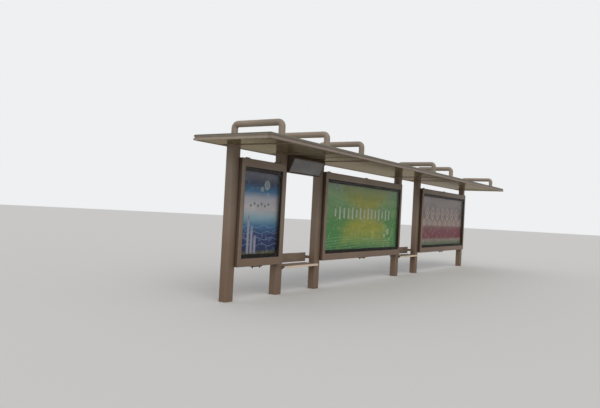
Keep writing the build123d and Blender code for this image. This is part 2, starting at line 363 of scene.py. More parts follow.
# %% [markdown]
# ## Scuffed seats with a painted highlight
#
# The benches have the same coat, but clothes polish it, and the seat's top is scuffed along its length. Its
# front edge carries a painted highlight, nearly white, for the sky that its round nose catches. The
# highlight fades over two or three centimetres from that edge, so its mask is the distance from the front of
# the seat, roughened by the scuffs.

# %% Seat paint
SEAT_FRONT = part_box("seat_1")[0].y
SEAT_COLOUR = paint(122, 105, 89)
seat_paint = powder_coat("seat_powder_coat", SEAT_COLOUR, dull=0.6, shine=0.3, streaks=0.1, dust=0.0)
scuff_and_highlight_noise = seat_paint.noise(0.035, stretch=(0.12, 1, 1), detail=4)

# The scuffs move the edge of the painted highlight by up to 12 millimetres.
highlight_reach = seat_paint.y - SEAT_FRONT + scuff_and_highlight_noise * 0.012
seat_paint.lay(scuff_and_highlight_noise.ease(0.46, 0.66) * 0.4, paint(158, 142, 124))
# A painted highlight, nearly white, along the front edge, where the round nose catches the sky.
seat_paint.lay((1 - highlight_reach.ease(0.006, 0.03)) * (0.65 + scuff_and_highlight_noise * 0.5), paint(232, 212, 190))
print("the seats' front edge is at", round(SEAT_FRONT, 3))

# %% [markdown]
# ## The roof's edge
#
# The edge of the roof is paler and more streaked than the posts, and its front is greyed by a film of dust.
# A roof this long comes in lengths: the lengths of the edge meet over the middle of each bench bay. The
# joint is a gap four millimetres wide, too thin to need a shape, so it is a dark line in the paint.

# %% Fascia paint
POST_X = [sum(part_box(f"post_{number}"), Vector()).x / 2 for number in range(1, 7)]
SPLICES = [(POST_X[1] + POST_X[2]) / 2, (POST_X[3] + POST_X[4]) / 2]
HALF_GAP, GAP_SOFT = 0.002, 0.0005
FILM_BACK, FILM_FADE = -1.19, 0.03

fascia_paint = powder_coat("fascia_powder_coat", paint(156, 143, 128), streaks=0.9, dust=0.0)
on_front = 1 - (fascia_paint.y - FILM_BACK).ease(0.0, FILM_FADE)
front_film = on_front * (0.6 + fascia_paint.noise(0.4, detail=3) * 0.5)
fascia_paint.lay(front_film.least(1.0) * 0.8, paint(128, 113, 103))
gap = sum(fascia_paint.x.within(splice - HALF_GAP, splice + HALF_GAP, GAP_SOFT) for splice in SPLICES)
fascia_paint.lay(gap, paint(38, 33, 29))
print("fascia joints at", [round(splice, 2) for splice in SPLICES])

# %% [markdown]
# ## The ceiling
#
# The ceiling is a smooth panel in a warm paint with metal flakes, a little dulled by grime. Seen at a low
# angle it mirrors strongly, and flakes tint what they mirror. So it is made part metal with a warm edge
# tint: bays turn cream where it mirrors the pale ground, and brown where it mirrors a post or the display.
# A clear coat would mirror too, but without that warm colour. Such a wide thin skin is never quite flat,
# and a long soft ripple in the bump bends what it mirrors, as thin sheet does.

# %% Ceiling paint
ROOF_LOW, ROOF_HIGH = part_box("roof_covering")
FLAKES = {"Metallic": 0.39, "Specular_Tint": (0.95, 0.86, 0.50, 1), "Specular_IOR_Level": 0.012}
RIPPLE = 0.002

ceiling_paint = Finish("ceiling_flake_paint", paint(142, 134, 112), **FLAKES)
grime = ceiling_paint.noise(0.7, detail=4)
spots = ceiling_paint.noise(0.05, detail=3)
ceiling_paint.lay(grime.ease(0.3, 0.75), paint(124, 116, 94))
# Darker bands along the front and rear edges: painted shade where the ceiling meets the roof's edge, with
# some grime in it.
front_shade_and_grime = 1 - (ceiling_paint.y - ROOF_LOW.y).ease(0.0, 0.16)
rear_shade_and_grime = ceiling_paint.y.ease(0.1, 0.32)
ceiling_paint.lay(front_shade_and_grime.most(rear_shade_and_grime) * 0.45, paint(102, 96, 82))
ceiling_paint.lay(spots.ease(0.62, 0.78) * 0.3, paint(108, 102, 84))
ceiling_paint.drive("Roughness", 0.12 + spots * 0.12)
ceiling_paint.emboss(ceiling_paint.noise(0.5, stretch=(1, 1.6, 1), detail=1), RIPPLE)
print("ceiling ripples by", RIPPLE * 1000, "mm")

# %% [markdown]
# ## The sheet on the roof
#
# The sheet on top has weathered to a pale grey. Rain runs leave streaks from front to rear on it, dust
# stays near the rear edge, where water stands, and a green growth darkens its rim. Spots of moss could be
# modelled, but nobody comes near enough to see them, so they are only a rougher and slightly raised patch.


# %% Roof sheet
def past_span(place, low, high):
    """How far a place lies outside a span, and less than 0 inside it."""
    return abs(place - (low + high) / 2) - (high - low) / 2


roof_sheet = Finish("weathered_roof_sheet", paint(170, 168, 157))
dust = roof_sheet.noise(0.5, stretch=(1.8, 0.7, 1), detail=5)
runs = roof_sheet.noise(0.05, stretch=(1, 0.06, 1), detail=3)
moss = roof_sheet.noise(0.05, detail=4)
roof_sheet.lay(dust.ease(0.3, 0.75), paint(190, 187, 176))
roof_sheet.lay(runs.ease(0.5, 0.8) * 0.45, paint(140, 137, 124))
roof_sheet.lay(moss.ease(0.62, 0.78) * 0.35, paint(98, 100, 80))
ponds = (roof_sheet.y + runs * 0.3).within(0.12, 0.34, 0.06)
roof_sheet.lay(ponds * 0.4, paint(104, 103, 88))
rim = past_span(roof_sheet.x, ROOF_LOW.x, ROOF_HIGH.x).most(past_span(roof_sheet.y, ROOF_LOW.y, ROOF_HIGH.y))
roof_sheet.lay((rim + runs * 0.05).ease(-0.07, -0.01) * 0.85, paint(88, 90, 74))
roof_sheet.drive("Roughness", 0.6 + moss * 0.25)
roof_sheet.emboss(dust * 0.6 + moss * 0.4, RIPPLE)
print("roof sheet in metres:", [round(size, 2) for size in ROOF_HIGH - ROOF_LOW])

# %% [markdown]
# ## Printed posters
#
# Each case holds one large printed sheet behind its glass. Here each gets a plain design of its own, so
# that the shelter belongs to nobody. A picture file could be laid on the sheet, but it would be blocks up
# close. Shapes written as sums stay sharp: the distance from a point to a shape, eased from 1 to 0 at its
# edge, is a mask, and each mask lays one ink over the last.


# %% Shapes for the prints
class Print(Finish):
    """A poster's ink, with its own places u, across from the middle, and w, up from the sheet's foot."""

    def __init__(self, name, poster):
        super().__init__(name, Roughness=0.55, Specular_IOR_Level=0.12)
        low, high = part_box(poster)
        self.width, self.height = high.x - low.x, high.z - low.z
        self.u = self.x - (low.x + high.x) / 2
        self.w = self.z - low.z

    def wash(self, *stops):
        """Prints a wash of inks from the foot, 0, to the top, 1."""
        inks = [(where, paint(*ink)) for where, ink in stops]
        self.tone = self.node("ValToRGB", {"stops": inks}, {0: self.w / self.height})

    def far(self, run, rise):
        """The length of a slope with this run and rise."""
        return (run * run + rise * rise).maths("SQRT")

    def disc(self, u, w, radius, soft=0.004):
        """A round spot."""
        return 1 - self.far(self.u - u, self.w - w).ease(radius - soft, radius + soft)

    def bar(self, u, low, high, radius, soft=0.003):
        """An upright bar with round ends."""
        past = (low - self.w).most(self.w - high).most(0.0)
        return 1 - self.far(self.u - u, past).ease(radius - soft, radius + soft)

    def diamond(self, u, w, reach, soft=0.004):
        """A square that stands on its corner."""
        away = abs(self.u - u) + abs(self.w - w)
        return 1 - away.ease(reach - soft, reach + soft)

    def specks(self, size, radius, soft=0.03):
        """Soft round spots of many sizes, where the sheet cuts through balls scattered in space."""
        cells = self.node("TexVoronoi", {}, {"Vector": self.place, "Scale": 1 / size, "Randomness": 0.9})
        return 1 - cells.out("Distance").ease(radius - soft, radius + soft)

    def swell(self, height, depth, length, phase, thick, soft=0.004):
        """A line that rises and falls as a wave does."""
        crest = (self.u * (math.tau / length) + phase).maths("SINE") * depth + height
        return 1 - abs(self.w - crest).ease(thick - soft, thick + soft)


print("shapes: disc, bar, diamond, specks and swell")

# %% [markdown]
# ## The blue poster
#
# The nearest print is a cool one, darker at its foot, pale across the middle and with a deep blue band over
# it. A colour ramp along the height gives that wash in one node, and a little drift of noise over it keeps
# the bands from looking ruled.

# %% Blue wash
blue_print = Print("blue_poster_print", "poster_1")
blue_print.wash(
    (0.00, (84, 84, 52)),
    (0.11, (112, 110, 70)),
    (0.15, (46, 54, 92)),
    (0.30, (58, 72, 118)),
    (0.38, (74, 120, 158)),
    (0.45, (140, 178, 194)),
    (0.55, (208, 204, 206)),
    (0.64, (190, 194, 206)),
    (0.71, (70, 128, 174)),
    (0.79, (66, 80, 106)),
    (0.88, (136, 136, 154)),
    (1.00, (184, 178, 186)),
)
drift = blue_print.noise(0.16, stretch=(0.35, 1, 1), detail=3).ease(0.35, 0.75)
blue_print.lay(drift * 0.22, paint(44, 62, 104))
blue_print.lay(blue_print.specks(0.11, 0.30) * 0.16, paint(150, 184, 206))
print("blue poster:", round(blue_print.width, 2), "by", round(blue_print.height, 2), "m")

# %% Blue discs, leaves, bars and waves
BLUE_BAR_FOOT = 0.24
for u, w, radius in ((0.20, 1.44, 0.085), (0.06, 1.36, 0.045), (0.24, 1.27, 0.030)):
    blue_print.lay(blue_print.disc(u, w, radius) * 0.7, paint(196, 206, 204))
    blue_print.lay(blue_print.disc(u, w, radius * 0.7) * 0.5, paint(126, 142, 160))
for count in range(6):
    leaf = blue_print.diamond(-0.26 + count * 0.104, 1.06 + 0.035 * (count % 2), 0.036)
    blue_print.lay(leaf * 0.7, paint(74, 96, 84))
for u, top in ((-0.30, 0.86), (-0.20, 0.66), (-0.10, 0.50)):
    blue_print.lay(blue_print.bar(u, BLUE_BAR_FOOT, top, 0.034) * 0.75, paint(176, 176, 188))
    blue_print.lay(blue_print.bar(u, BLUE_BAR_FOOT, top, 0.024) * 0.6, paint(110, 116, 150))
    blue_print.lay(blue_print.bar(u, BLUE_BAR_FOOT, top - 0.06, 0.008) * 0.7, paint(190, 190, 200))
for count in range(4):
    crest = blue_print.swell(0.36 + count * 0.11, 0.022, 0.42, count * 1.9, 0.005)
    blue_print.lay(crest * 0.5, paint(150, 182, 202))
print("nodes in the blue print:", len(blue_print.tree.nodes))

# %% [markdown]
# ## The green poster
#
# The middle print is green, with a yellow glow that spreads to both sides from a narrow waist. The glow is
# the larger of two distances, across and up, which makes a soft box, and noise moves its edge in and out.

# %% Green wash and glow
green_print = Print("green_poster_print", "poster_2")
green_print.wash(
    (0.00, (62, 114, 76)),
    (0.20, (80, 142, 88)),
    (0.45, (94, 152, 88)),
    (0.75, (140, 182, 130)),
    (1.00, (170, 194, 178)),
)
reach = (abs(green_print.u - 0.1) * 0.52).most(abs(green_print.w - 1.0) * 0.9)
waist = (1 - abs(green_print.w - 1.04).ease(0.05, 0.34)) * 0.22
glow = 1 - (reach + waist + green_print.noise(0.5, detail=3) * 0.3).ease(0.36, 0.96)
green_print.lay(glow * 0.85, paint(178, 172, 66))
foliage = green_print.noise(0.16, stretch=(0.22, 1, 1.8), detail=3).ease(0.40, 0.7)
green_print.lay(foliage * 0.25, paint(62, 128, 60))
green_print.lay(green_print.specks(0.34, 0.34) * 0.18, paint(190, 200, 140))
green_print.lay(green_print.specks(0.13, 0.26) * 0.22, paint(206, 212, 158))
print("green poster:", round(green_print.width, 2), "by", round(green_print.height, 2), "m")

# %% Green bars, diamonds, discs and waves
BAR_ROW = 1.02
for count in range(15):
    u, half = -1.40 + count * 0.20, 0.055 + 0.06 * abs(math.sin(count * 1.3))
    foot, top = BAR_ROW - half, BAR_ROW + half
    green_print.lay(green_print.bar(u, foot, top, 0.056) * 0.55, paint(52, 96, 66))
    green_print.lay(green_print.bar(u, foot, top, 0.040) * 0.85, paint(196, 208, 186))
for u, w, reach in ((-1.38, 1.60, 0.10), (-1.16, 1.55, 0.065), (-1.02, 1.62, 0.04)):
    green_print.lay(green_print.diamond(u, w, reach) * 0.65, paint(190, 202, 186))
    green_print.lay(green_print.diamond(u, w, reach * 0.5) * 0.6, paint(70, 116, 88))
for u, w, radius in ((1.36, 0.60, 0.085), (1.18, 0.50, 0.05), (1.48, 0.42, 0.04), (1.28, 0.38, 0.03)):
    green_print.lay(green_print.disc(u, w, radius) * 0.6, paint(196, 206, 184))
for count in range(6):
    line = green_print.swell(0.20 + count * 0.05, 0.03, 3.4, 0.6 + count * 0.5, 0.005)
    green_print.lay(line * 0.6, paint(158, 190, 142))
print("nodes in the green print:", len(green_print.tree.nodes))

# %% [markdown]
# ## The rose poster
#
# The far print is grey and rose, paler towards its top, with one row of large diamonds and a row of small
# ones below. Diamonds laid one in another, pale and dark by turns, read as tiles from far off.

# %% Rose wash
rose_print = Print("rose_poster_print", "poster_3")
rose_print.wash(
    (0.00, (134, 126, 126)),
    (0.13, (112, 116, 104)),
    (0.19, (150, 138, 126)),
    (0.23, (128, 74, 82)),
    (0.34, (134, 80, 88)),
    (0.40, (140, 108, 106)),
    (0.44, (170, 152, 144)),
    (0.53, (162, 146, 140)),
    (0.60, (128, 122, 124)),
    (0.80, (182, 174, 177)),
    (1.00, (214, 210, 211)),
)
weave = rose_print.noise(0.14, stretch=(0.4, 1, 1.6), detail=3).ease(0.4, 0.7)
rose_print.lay(weave * 0.2, paint(108, 84, 90))
rose_print.lay(rose_print.specks(0.20, 0.30) * 0.16, paint(196, 180, 178))
print("rose poster:", round(rose_print.width, 2), "by", round(rose_print.height, 2), "m")

# %% Rose diamonds, discs and waves
TILE_ROW, SMALL_ROW, TILE_STEP = 1.16, 0.88, 0.45
for count in range(7):
    u = -1.35 + count * TILE_STEP
    rose_print.lay(rose_print.diamond(u, TILE_ROW, 0.21) * 0.75, paint(206, 196, 188))
    rose_print.lay(rose_print.diamond(u, TILE_ROW, 0.14) * 0.6, paint(126, 90, 96))
    rose_print.lay(rose_print.diamond(u, TILE_ROW, 0.06) * 0.8, paint(210, 198, 190))
for count in range(8):
    u = -1.575 + count * TILE_STEP
    rose_print.lay(rose_print.disc(u, TILE_ROW, 0.035, 0.003) * 0.6, paint(118, 72, 82))
    rose_print.lay(rose_print.diamond(u, SMALL_ROW, 0.10) * 0.7, paint(206, 192, 186))
    rose_print.lay(rose_print.diamond(u, SMALL_ROW, 0.05) * 0.7, paint(136, 96, 100))
for count in range(3):
    line = rose_print.swell(0.66 + count * 0.04, 0.012, 1.1, count, 0.005)
    rose_print.lay(line * 0.5, paint(120, 62, 70))
rose_print.lay(rose_print.swell(0.25, 0.02, 2.6, 0.4, 0.025) * 0.7, paint(104, 134, 92))
print("nodes in the rose print:", len(rose_print.tree.nodes))

# %% [markdown]
# ## Glass
#
# Each door has a clear pane. Real glass bends light, but a pane this thin mostly lets it through and
# mirrors a little of the sky. So it is made see-through by its alpha, which costs far less than bending
# each ray. Rain washes the lower half, so dust makes the pane cloudier high up and in streaks. The black
# border round the print is baked onto the pane, so it is an ink and not a shape in the glass.

# %% Pane
pane = Finish("door_pane", (0.30, 0.32, 0.32, 1), IOR=1.5, Specular_IOR_Level=0.5)
film = pane.noise(0.4, detail=4)
runs = pane.noise(0.03, stretch=(1, 1, 0.06), detail=2)
dry = pane.z.ease(0.9, 2.3)
cloudy = film.ease(0.4, 0.8) * 0.015 + runs.ease(0.5, 0.8) * 0.01 + dry * 0.04
pane.drive("Alpha", 0.015 + cloudy)
pane.drive("Roughness", 0.04 + cloudy)
print("pane nodes:", len(pane.tree.nodes))

# %% Border ink
border_ink = Finish("black_glass_border", paint(27, 26, 24), Specular_IOR_Level=0.08)
speckle = border_ink.noise(0.02, detail=3)
border_ink.lay(speckle.ease(0.3, 0.9), paint(34, 33, 31))
# Paler high up: a painted sheen, for the sky that the glass mirrors in front of the border.
border_ink.lay(border_ink.z.ease(1.4, 2.2) * 0.5, paint(62, 61, 59))
border_ink.drive("Roughness", 0.45 + speckle * 0.2)
print("border ink nodes:", len(border_ink.tree.nodes))

# %% [markdown]
# ## Rubber and bare steel
#
# Gaskets, seals and boots are of black rubber, and the mouldings on the doors' sides are of a brown one,
# chosen to go with the paint. Rubber is dull and grainy, and sun turns the brown one chalky in patches.
# Screws, bolts and clamps have a dull zinc skin, which is mostly metal, with small patches that are rougher
# and paler.

# %% Black rubber
GRAIN, GRAIN_DEPTH = 0.004, 0.0002

rubber = Finish("black_rubber", paint(26, 26, 25))
grain = rubber.noise(GRAIN, detail=2)
rubber.lay(grain, paint(48, 46, 43))
rubber.drive("Roughness", 0.65 + grain * 0.2)
rubber.emboss(grain, GRAIN_DEPTH)
print("rubber grain in millimetres:", GRAIN * 1000)

# %% Brown rubber
brown_rubber = Finish("brown_rubber", paint(82, 66, 54))
grain = brown_rubber.noise(GRAIN, detail=2)
chalk = brown_rubber.noise(0.12, stretch=(1, 1, 0.4), detail=3)
brown_rubber.lay(grain, paint(94, 76, 63))
brown_rubber.lay(chalk.ease(0.45, 0.75) * 0.3, paint(112, 96, 82))
brown_rubber.drive("Roughness", 0.6 + grain * 0.2)
brown_rubber.emboss(grain, GRAIN_DEPTH)
print("brown rubber nodes:", len(brown_rubber.tree.nodes))

# %% Dull zinc steel
bare_steel = Finish("dull_zinc_steel", paint(112, 108, 102), Metallic=0.9)
worn = bare_steel.noise(0.006, detail=3)
bare_steel.lay(worn, paint(156, 152, 146))
bare_steel.drive("Roughness", 0.38 + worn * 0.25)
print("zinc steel nodes:", len(bare_steel.tree.nodes))

# %% [markdown]
# ## The display's face
#
# The display is off by day. Its face is a dull grey cover over rows of small lamps, set in square modules.
# The face leans, so its own height is the drop down the slope. A grid comes from the fraction left over
# when a place is divided by the pitch: near 0.5 is the middle of a lamp.

# %% Unlit dot matrix
LEAN = math.radians(24.4)
DOT_PITCH = 0.012
MODULE = 0.264

display = Finish("unlit_display", paint(126, 131, 139))
across_dots = (display.x / DOT_PITCH).part() - 0.5
down_dots = (display.z / (DOT_PITCH * math.cos(LEAN))).part() - 0.5
lamp = 1 - (across_dots * across_dots + down_dots * down_dots).ease(0.03, 0.12)
module = abs((display.x / MODULE).part() - 0.5).ease(0.488, 0.496)
haze = display.noise(0.25, detail=3)
glare = display.noise(0.22, stretch=(0.5, 1, 2.2), detail=3).ease(0.42, 0.7)
wiped = display.noise(0.02, stretch=(0.06, 1, 1), detail=3).ease(0.45, 0.75)
display.lay(haze, paint(154, 160, 168))
display.lay(glare * 0.4, paint(172, 170, 166))
display.lay(wiped * 0.25, paint(92, 92, 96))
display.lay(lamp * 0.4, paint(160, 157, 154))
display.lay(module * 0.6, paint(48, 48, 50))
display.drive("Roughness", 0.5 + haze * 0.15)
display.emboss(lamp, 0.0008)
print("display dots every", DOT_PITCH * 1000, "mm")

# %% [markdown]
# ## Dressing the CAD pieces
#
# Most CAD pieces have the right shape already, so they only take a finish. Each one's name tells which.
# Where two entries fit, as "post" and "poster_1" do for the first poster, the longer one wins.

# %% Give each CAD piece its finish
DRESS = {
    "post": frame_paint,
    "roof_rib": frame_paint,
    "hoop": frame_paint,
    "door_frame": frame_paint,
    "bench_brackets": frame_paint,
    "near_fascia": fascia_paint,
    "far_fascia": fascia_paint,
    "front_fascia": fascia_paint,
    "rear_fascia": fascia_paint,
    "soffit_panels": ceiling_paint,
    "roof_covering": roof_sheet,
    "case": case_paint,
    "poster_1": blue_print,
    "poster_2": green_print,
    "poster_3": rose_print,
    "door_glass": pane,
    "seat": seat_paint,
    "backrest": seat_paint,
    "sign_housing": sign_paint,
    "sign_screen": display,
}
for name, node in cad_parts.items():
    start = max((key for key in DRESS if name.startswith(key)), key=len)
    node.data.materials.clear()
    node.data.materials.append(DRESS[start].material)
print("dressed", len(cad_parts), "CAD pieces")

# %% [markdown]
# ## Making a piece
#
# New pieces are built as a bmesh, a loose mesh that operators can spin, extrude and bevel. When it is done,
# its doubled points are merged, its faces are turned outwards, and only its gentle edges are shaded smooth.
# Then it is hung on the body that it moves with.

# %% From a bmesh to a piece
SAME_PLACE = 1e-6
GENTLE = math.radians(40)


def finish_piece(name, shape, body, coat):
    """Turns a bmesh into a piece that rides on a body and has a finish."""
    bmesh.ops.remove_doubles(shape, verts=shape.verts, dist=SAME_PLACE)
    bmesh.ops.recalc_face_normals(shape, faces=shape.faces)
    for face in shape.faces:
        face.smooth = True
    for edge in shape.edges:
        edge.smooth = edge.calc_face_angle(math.pi) < GENTLE
    loose = sum(not edge.is_manifold for edge in shape.edges)
    mesh = bpy.data.meshes.new(name)
    shape.to_mesh(mesh)
    shape.free()
    mesh.materials.append(coat.material)
    piece = bpy.data.objects.new(name, mesh)
    bpy.context.scene.collection.objects.link(piece)
    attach(piece, body)
    print(name, "faces", len(mesh.polygons), "open edges", loose)
    return piece


print("edges stay sharp from", round(math.degrees(GENTLE)), "degrees")


# %% Blocks and round edges
def brick(shape, low, high):
    """A block between two corners."""
    low, high = Vector(low), Vector(high)
    place = Matrix.Translation((low + high) / 2) @ Matrix.Diagonal((*(high - low), 1))
    return bmesh.ops.create_cube(shape, size=1, matrix=place)["verts"]


def edges_along(verts, axis):
    """The edges of some vertices that run along one axis."""
    edges = dict.fromkeys(edge for vert in verts for edge in vert.link_edges)
    lines = [(edge, (edge.verts[1].co - edge.verts[0].co).normalized()) for edge in edges]
    return [edge for edge, line in lines if abs(line[axis]) > 0.99]


def round_off(shape, edges, radius, steps):
    """Rounds some edges to a radius, in a number of steps."""
    bmesh.ops.bevel(
        shape,
        geom=edges,
        offset=radius,
        offset_type="OFFSET",
        segments=steps,
        profile=0.5,
        affect="EDGES",
        material=-1,
    )


print("helpers: brick, edges_along and round_off")

# %% [markdown]
# ## Posts
#
# Each post is a rolled steel box with generous round corners. The CAD post has flat strips round its
# corners, so a smooth one takes its place: a block with its four upright edges bevelled in eight steps.

# %% Round-cornered posts
POST_CORNER = 0.020
for number in range(1, 7):
    low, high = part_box(f"post_{number}")
    shape = bmesh.new()
    round_off(shape, edges_along(brick(shape, low, high), 2), POST_CORNER, steps=8)
    post = finish_piece(f"smooth_post_{number}", shape, "shelter", frame_paint)
    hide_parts(f"post_{number}")
print("posts at", [round(x, 2) for x in POST_X])

# %% [markdown]
# ## Hoops
#
# Over each post a tube rises through the roof, bends forward and comes down near the front edge. A tube
# bender makes such a hoop from one length, and the same moves make it here: a circle is pushed up, spun
# through a quarter turn, pushed forwards, spun again and pushed down.

# %% The moves of a tube bender
BEND_STEPS = 14


def push(shape, ring, move):
    """Extrudes a ring of edges and gives back the far ring."""
    made = bmesh.ops.extrude_edge_only(shape, edges=ring)["geom"]
    verts = [item for item in made if isinstance(item, bmesh.types.BMVert)]
    bmesh.ops.translate(shape, verts=verts, vec=move)
    return [item for item in made if isinstance(item, bmesh.types.BMEdge) and len(item.link_faces) == 1]


def bend(shape, ring, centre, angle):
    """Spins a ring of edges about a line along X."""
    turn = {"cent": centre, "axis": (1, 0, 0), "dvec": (0, 0, 0), "angle": angle, "steps": BEND_STEPS}
    made = bmesh.ops.spin(shape, geom=ring, **turn)
    return [item for item in made["geom_last"] if isinstance(item, bmesh.types.BMEdge)]


print("a bend is", BEND_STEPS, "steps round")

# %% Bend the tubes
TUBE = 0.0565
TUBE_SIDES = 36
BEND = 0.075
HOOP_TOP = 3.006
FRONT_LEG = -0.979
ROOF_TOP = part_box("front_fascia")[1].z
QUARTER = math.pi / 2

for number, x in enumerate(POST_X, 1):
    shape = bmesh.new()
    foot = Matrix.Translation((x, 0, ROOF_TOP))
    bmesh.ops.create_circle(shape, cap_ends=False, segments=TUBE_SIDES, radius=TUBE, matrix=foot)
    ring = push(shape, list(shape.edges), (0, 0, HOOP_TOP - BEND - ROOF_TOP))
    ring = bend(shape, ring, (x, -BEND, HOOP_TOP - BEND), QUARTER)
    ring = push(shape, ring, (0, FRONT_LEG + 2 * BEND, 0))
    ring = bend(shape, ring, (x, FRONT_LEG + BEND, HOOP_TOP - BEND), QUARTER)
    ring = push(shape, ring, (0, 0, ROOF_TOP - HOOP_TOP + BEND))
    bmesh.ops.holes_fill(shape, edges=[edge for edge in shape.edges if edge.is_boundary], sides=0)
    hoop = finish_piece(f"bent_hoop_{number}", shape, "shelter", frame_paint)
    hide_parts(f"hoop_{number}")

# %% [markdown]
# ## Benches
#
# A seat is one steel sheet with its long edges folded down round a soft nose, and the board behind it is a
# plank with eased edges. The sheet starts as a block that has lost its floor and its ends. The two top
# edges are bevelled, and then the open shell is given the sheet's thickness inwards.

# %% Folded seats and boards
SHEET = 0.005
SEAT_NOSE = 0.018
BOARD_EASE = 0.008

for number in (1, 2):
    low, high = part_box(f"seat_{number}")
    shape = bmesh.new()
    verts = brick(shape, low, high)
    away = [face for face in shape.faces if face.normal.z < -0.9 or abs(face.normal.x) > 0.9]
    bmesh.ops.delete(shape, geom=away, context="FACES")
    top_edges = [edge for edge in edges_along(verts, 0) if edge.verts[0].co.z > high.z - 0.001]
    round_off(shape, top_edges, SEAT_NOSE, steps=8)
    bmesh.ops.recalc_face_normals(shape, faces=shape.faces)
    if shape.faces[0].normal.dot(shape.faces[0].calc_center_median() - (low + high) / 2) < 0:
        bmesh.ops.reverse_faces(shape, faces=shape.faces)
    bmesh.ops.solidify(shape, geom=shape.faces, thickness=SHEET)
    seat = finish_piece(f"folded_seat_{number}", shape, "shelter", seat_paint)
    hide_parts(f"seat_{number}")

    low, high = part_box(f"backrest_{number}")
    shape = bmesh.new()
    round_off(shape, edges_along(brick(shape, low, high), 0), BOARD_EASE, steps=5)
    board = finish_piece(f"eased_board_{number}", shape, "shelter", seat_paint)
    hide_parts(f"backrest_{number}")

# %% [markdown]
# ## Borders, gaskets and beads
#
# Round each poster the glass is printed black on its inner side, which hides the lamps at the edge of the
# case. A soft rubber gasket lines the opening in front of the pane, and behind it a steel bead holds the
# pane in its rebate. All three are flat bands of a kind: one square face is inset, its middle is taken out
# and the rest is given a thickness.


# %% Bands that stand upright
def band(shape, low, high, wide, slim=0.0):
    """A ring that stands upright in X and Z, as deep as its corners are in Y, and slimmer at the sides."""
    low, high = Vector(low), Vector(high)
    size, middle = high - low, (low + high) / 2
    stand = Matrix.Translation((middle.x, low.y, middle.z)) @ Matrix.Rotation(QUARTER, 4, "X")
    stand = stand @ Matrix.Diagonal((size.x, size.z, 1, 1))
    bmesh.ops.create_grid(shape, x_segments=1, y_segments=1, size=0.5, matrix=stand)
    sheet = shape.faces[:]
    bmesh.ops.inset_region(shape, faces=sheet, thickness=wide, use_boundary=True, use_even_offset=True)
    bmesh.ops.delete(shape, geom=sheet, context="FACES")
    for side in (-1, 1):
        inner = [v for v in shape.verts if 0 < side * (v.co.x - middle.x) < size.x / 2 - wide / 2]
        bmesh.ops.translate(shape, verts=inner, vec=(side * slim, 0, 0))
    bmesh.ops.recalc_face_normals(shape, faces=shape.faces)
    if shape.faces[0].normal.y > 0:
        bmesh.ops.reverse_faces(shape, faces=shape.faces)
    bmesh.ops.solidify(shape, geom=shape.faces, thickness=size.y)


def band_piece(name, body, low, high, wide, coat, slim=0.0):
    """A band that is a piece of its own."""
    shape = bmesh.new()
    band(shape, low, high, wide, slim)
    finish_piece(name, shape, body, coat)


print("helpers: band and band_piece")

# %% Round each pane
# The lip is how far the frame reaches over the pane. Fronts and backs are measured from the pane's rear.
LIP = 0.0117
BORDER, SIDE_BORDER = 0.073, 0.042
BORDER_FRONT, BORDER_BACK = 0.0004, 0.0012
GASKET_DEEP, GASKET_WIDE = 0.006, 0.005
BEAD_FRONT, BEAD_BACK, BEAD_WIDE = 0.0016, 0.0136, LIP - 0.001

for number in (1, 2, 3):
    body = f"case_door_{number}"
    low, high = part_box(f"door_glass_{number}")
    start = (low.x, high.y + BORDER_FRONT, low.z)
    end = (high.x, high.y + BORDER_BACK, high.z)
    slim = BORDER - SIDE_BORDER
    band_piece(f"glass_border_{number}", body, start, end, LIP + BORDER, border_ink, slim)
    start = (low.x + LIP, low.y - GASKET_DEEP, low.z + LIP)
    end = (high.x - LIP, low.y, high.z - LIP)
    band_piece(f"door_gasket_{number}", body, start, end, GASKET_WIDE, rubber)
    start = (low.x, high.y + BEAD_FRONT, low.z)
    end = (high.x, high.y + BEAD_BACK, high.z)
    band_piece(f"glazing_bead_{number}", body, start, end, BEAD_WIDE, bare_steel)

# %% [markdown]
# ## Caps on the roof's joints
#
# The roof is sealed where its sheets meet: a flat cap lies over each joint and is screwed down on both
# sides. The sheets fall a little to the rear, so each cap is made level and then each of its corners is
# lifted to the sheet below it. The caps stop short of the hoops' legs. A screw head is a short cone, and its
# size is written as a radius and a height.

# %% Screw heads
SUNK = 0.0005
DOME_TOP = 0.62


def dome(shape, place, axis, radius, height):
    """A low domed screw head that stands on a point and faces along an axis."""
    turned = Vector((0, 0, 1)).rotation_difference(Vector(axis)).to_matrix().to_4x4()
    middle = Matrix.Translation(Vector(place) + Vector(axis) * height / 2) @ turned
    widths = {"radius1": radius, "radius2": radius * DOME_TOP}
    bmesh.ops.create_cone(shape, cap_ends=True, segments=12, depth=height, matrix=middle, **widths)


def spaced(low, high, count):
    """The middles of equal steps from one end to the other."""
    return [low + (high - low) * (step + 0.5) / count for step in range(count)]


print("screw heads sink by", SUNK * 1000, "mm, so that no light shows under them")

# %% Roof caps
CAP_HALF, CAP_THICK, CAP_INSET = 0.032, 0.004, 0.03
CAP_SCREW_STEP, CAP_SCREW_OUT = 0.2, 0.7
SHEET_SCREW = (0.006, 0.003)
FRONT_RISE, REAR_RISE = 0.028, 0.024
BOOT_REACH = 0.085
CAP_SPANS = (
    (ROOF_LOW.y + CAP_INSET, FRONT_LEG - BOOT_REACH),
    (FRONT_LEG + BOOT_REACH, -BOOT_REACH),
    (BOOT_REACH, ROOF_HIGH.y - CAP_INSET),
)


def roof_top(y):
    """The height of the roof covering's top at a place from front to rear."""
    share = (y - ROOF_LOW.y) / (ROOF_HIGH.y - ROOF_LOW.y)
    return ROOF_TOP + FRONT_RISE + (REAR_RISE - FRONT_RISE) * share


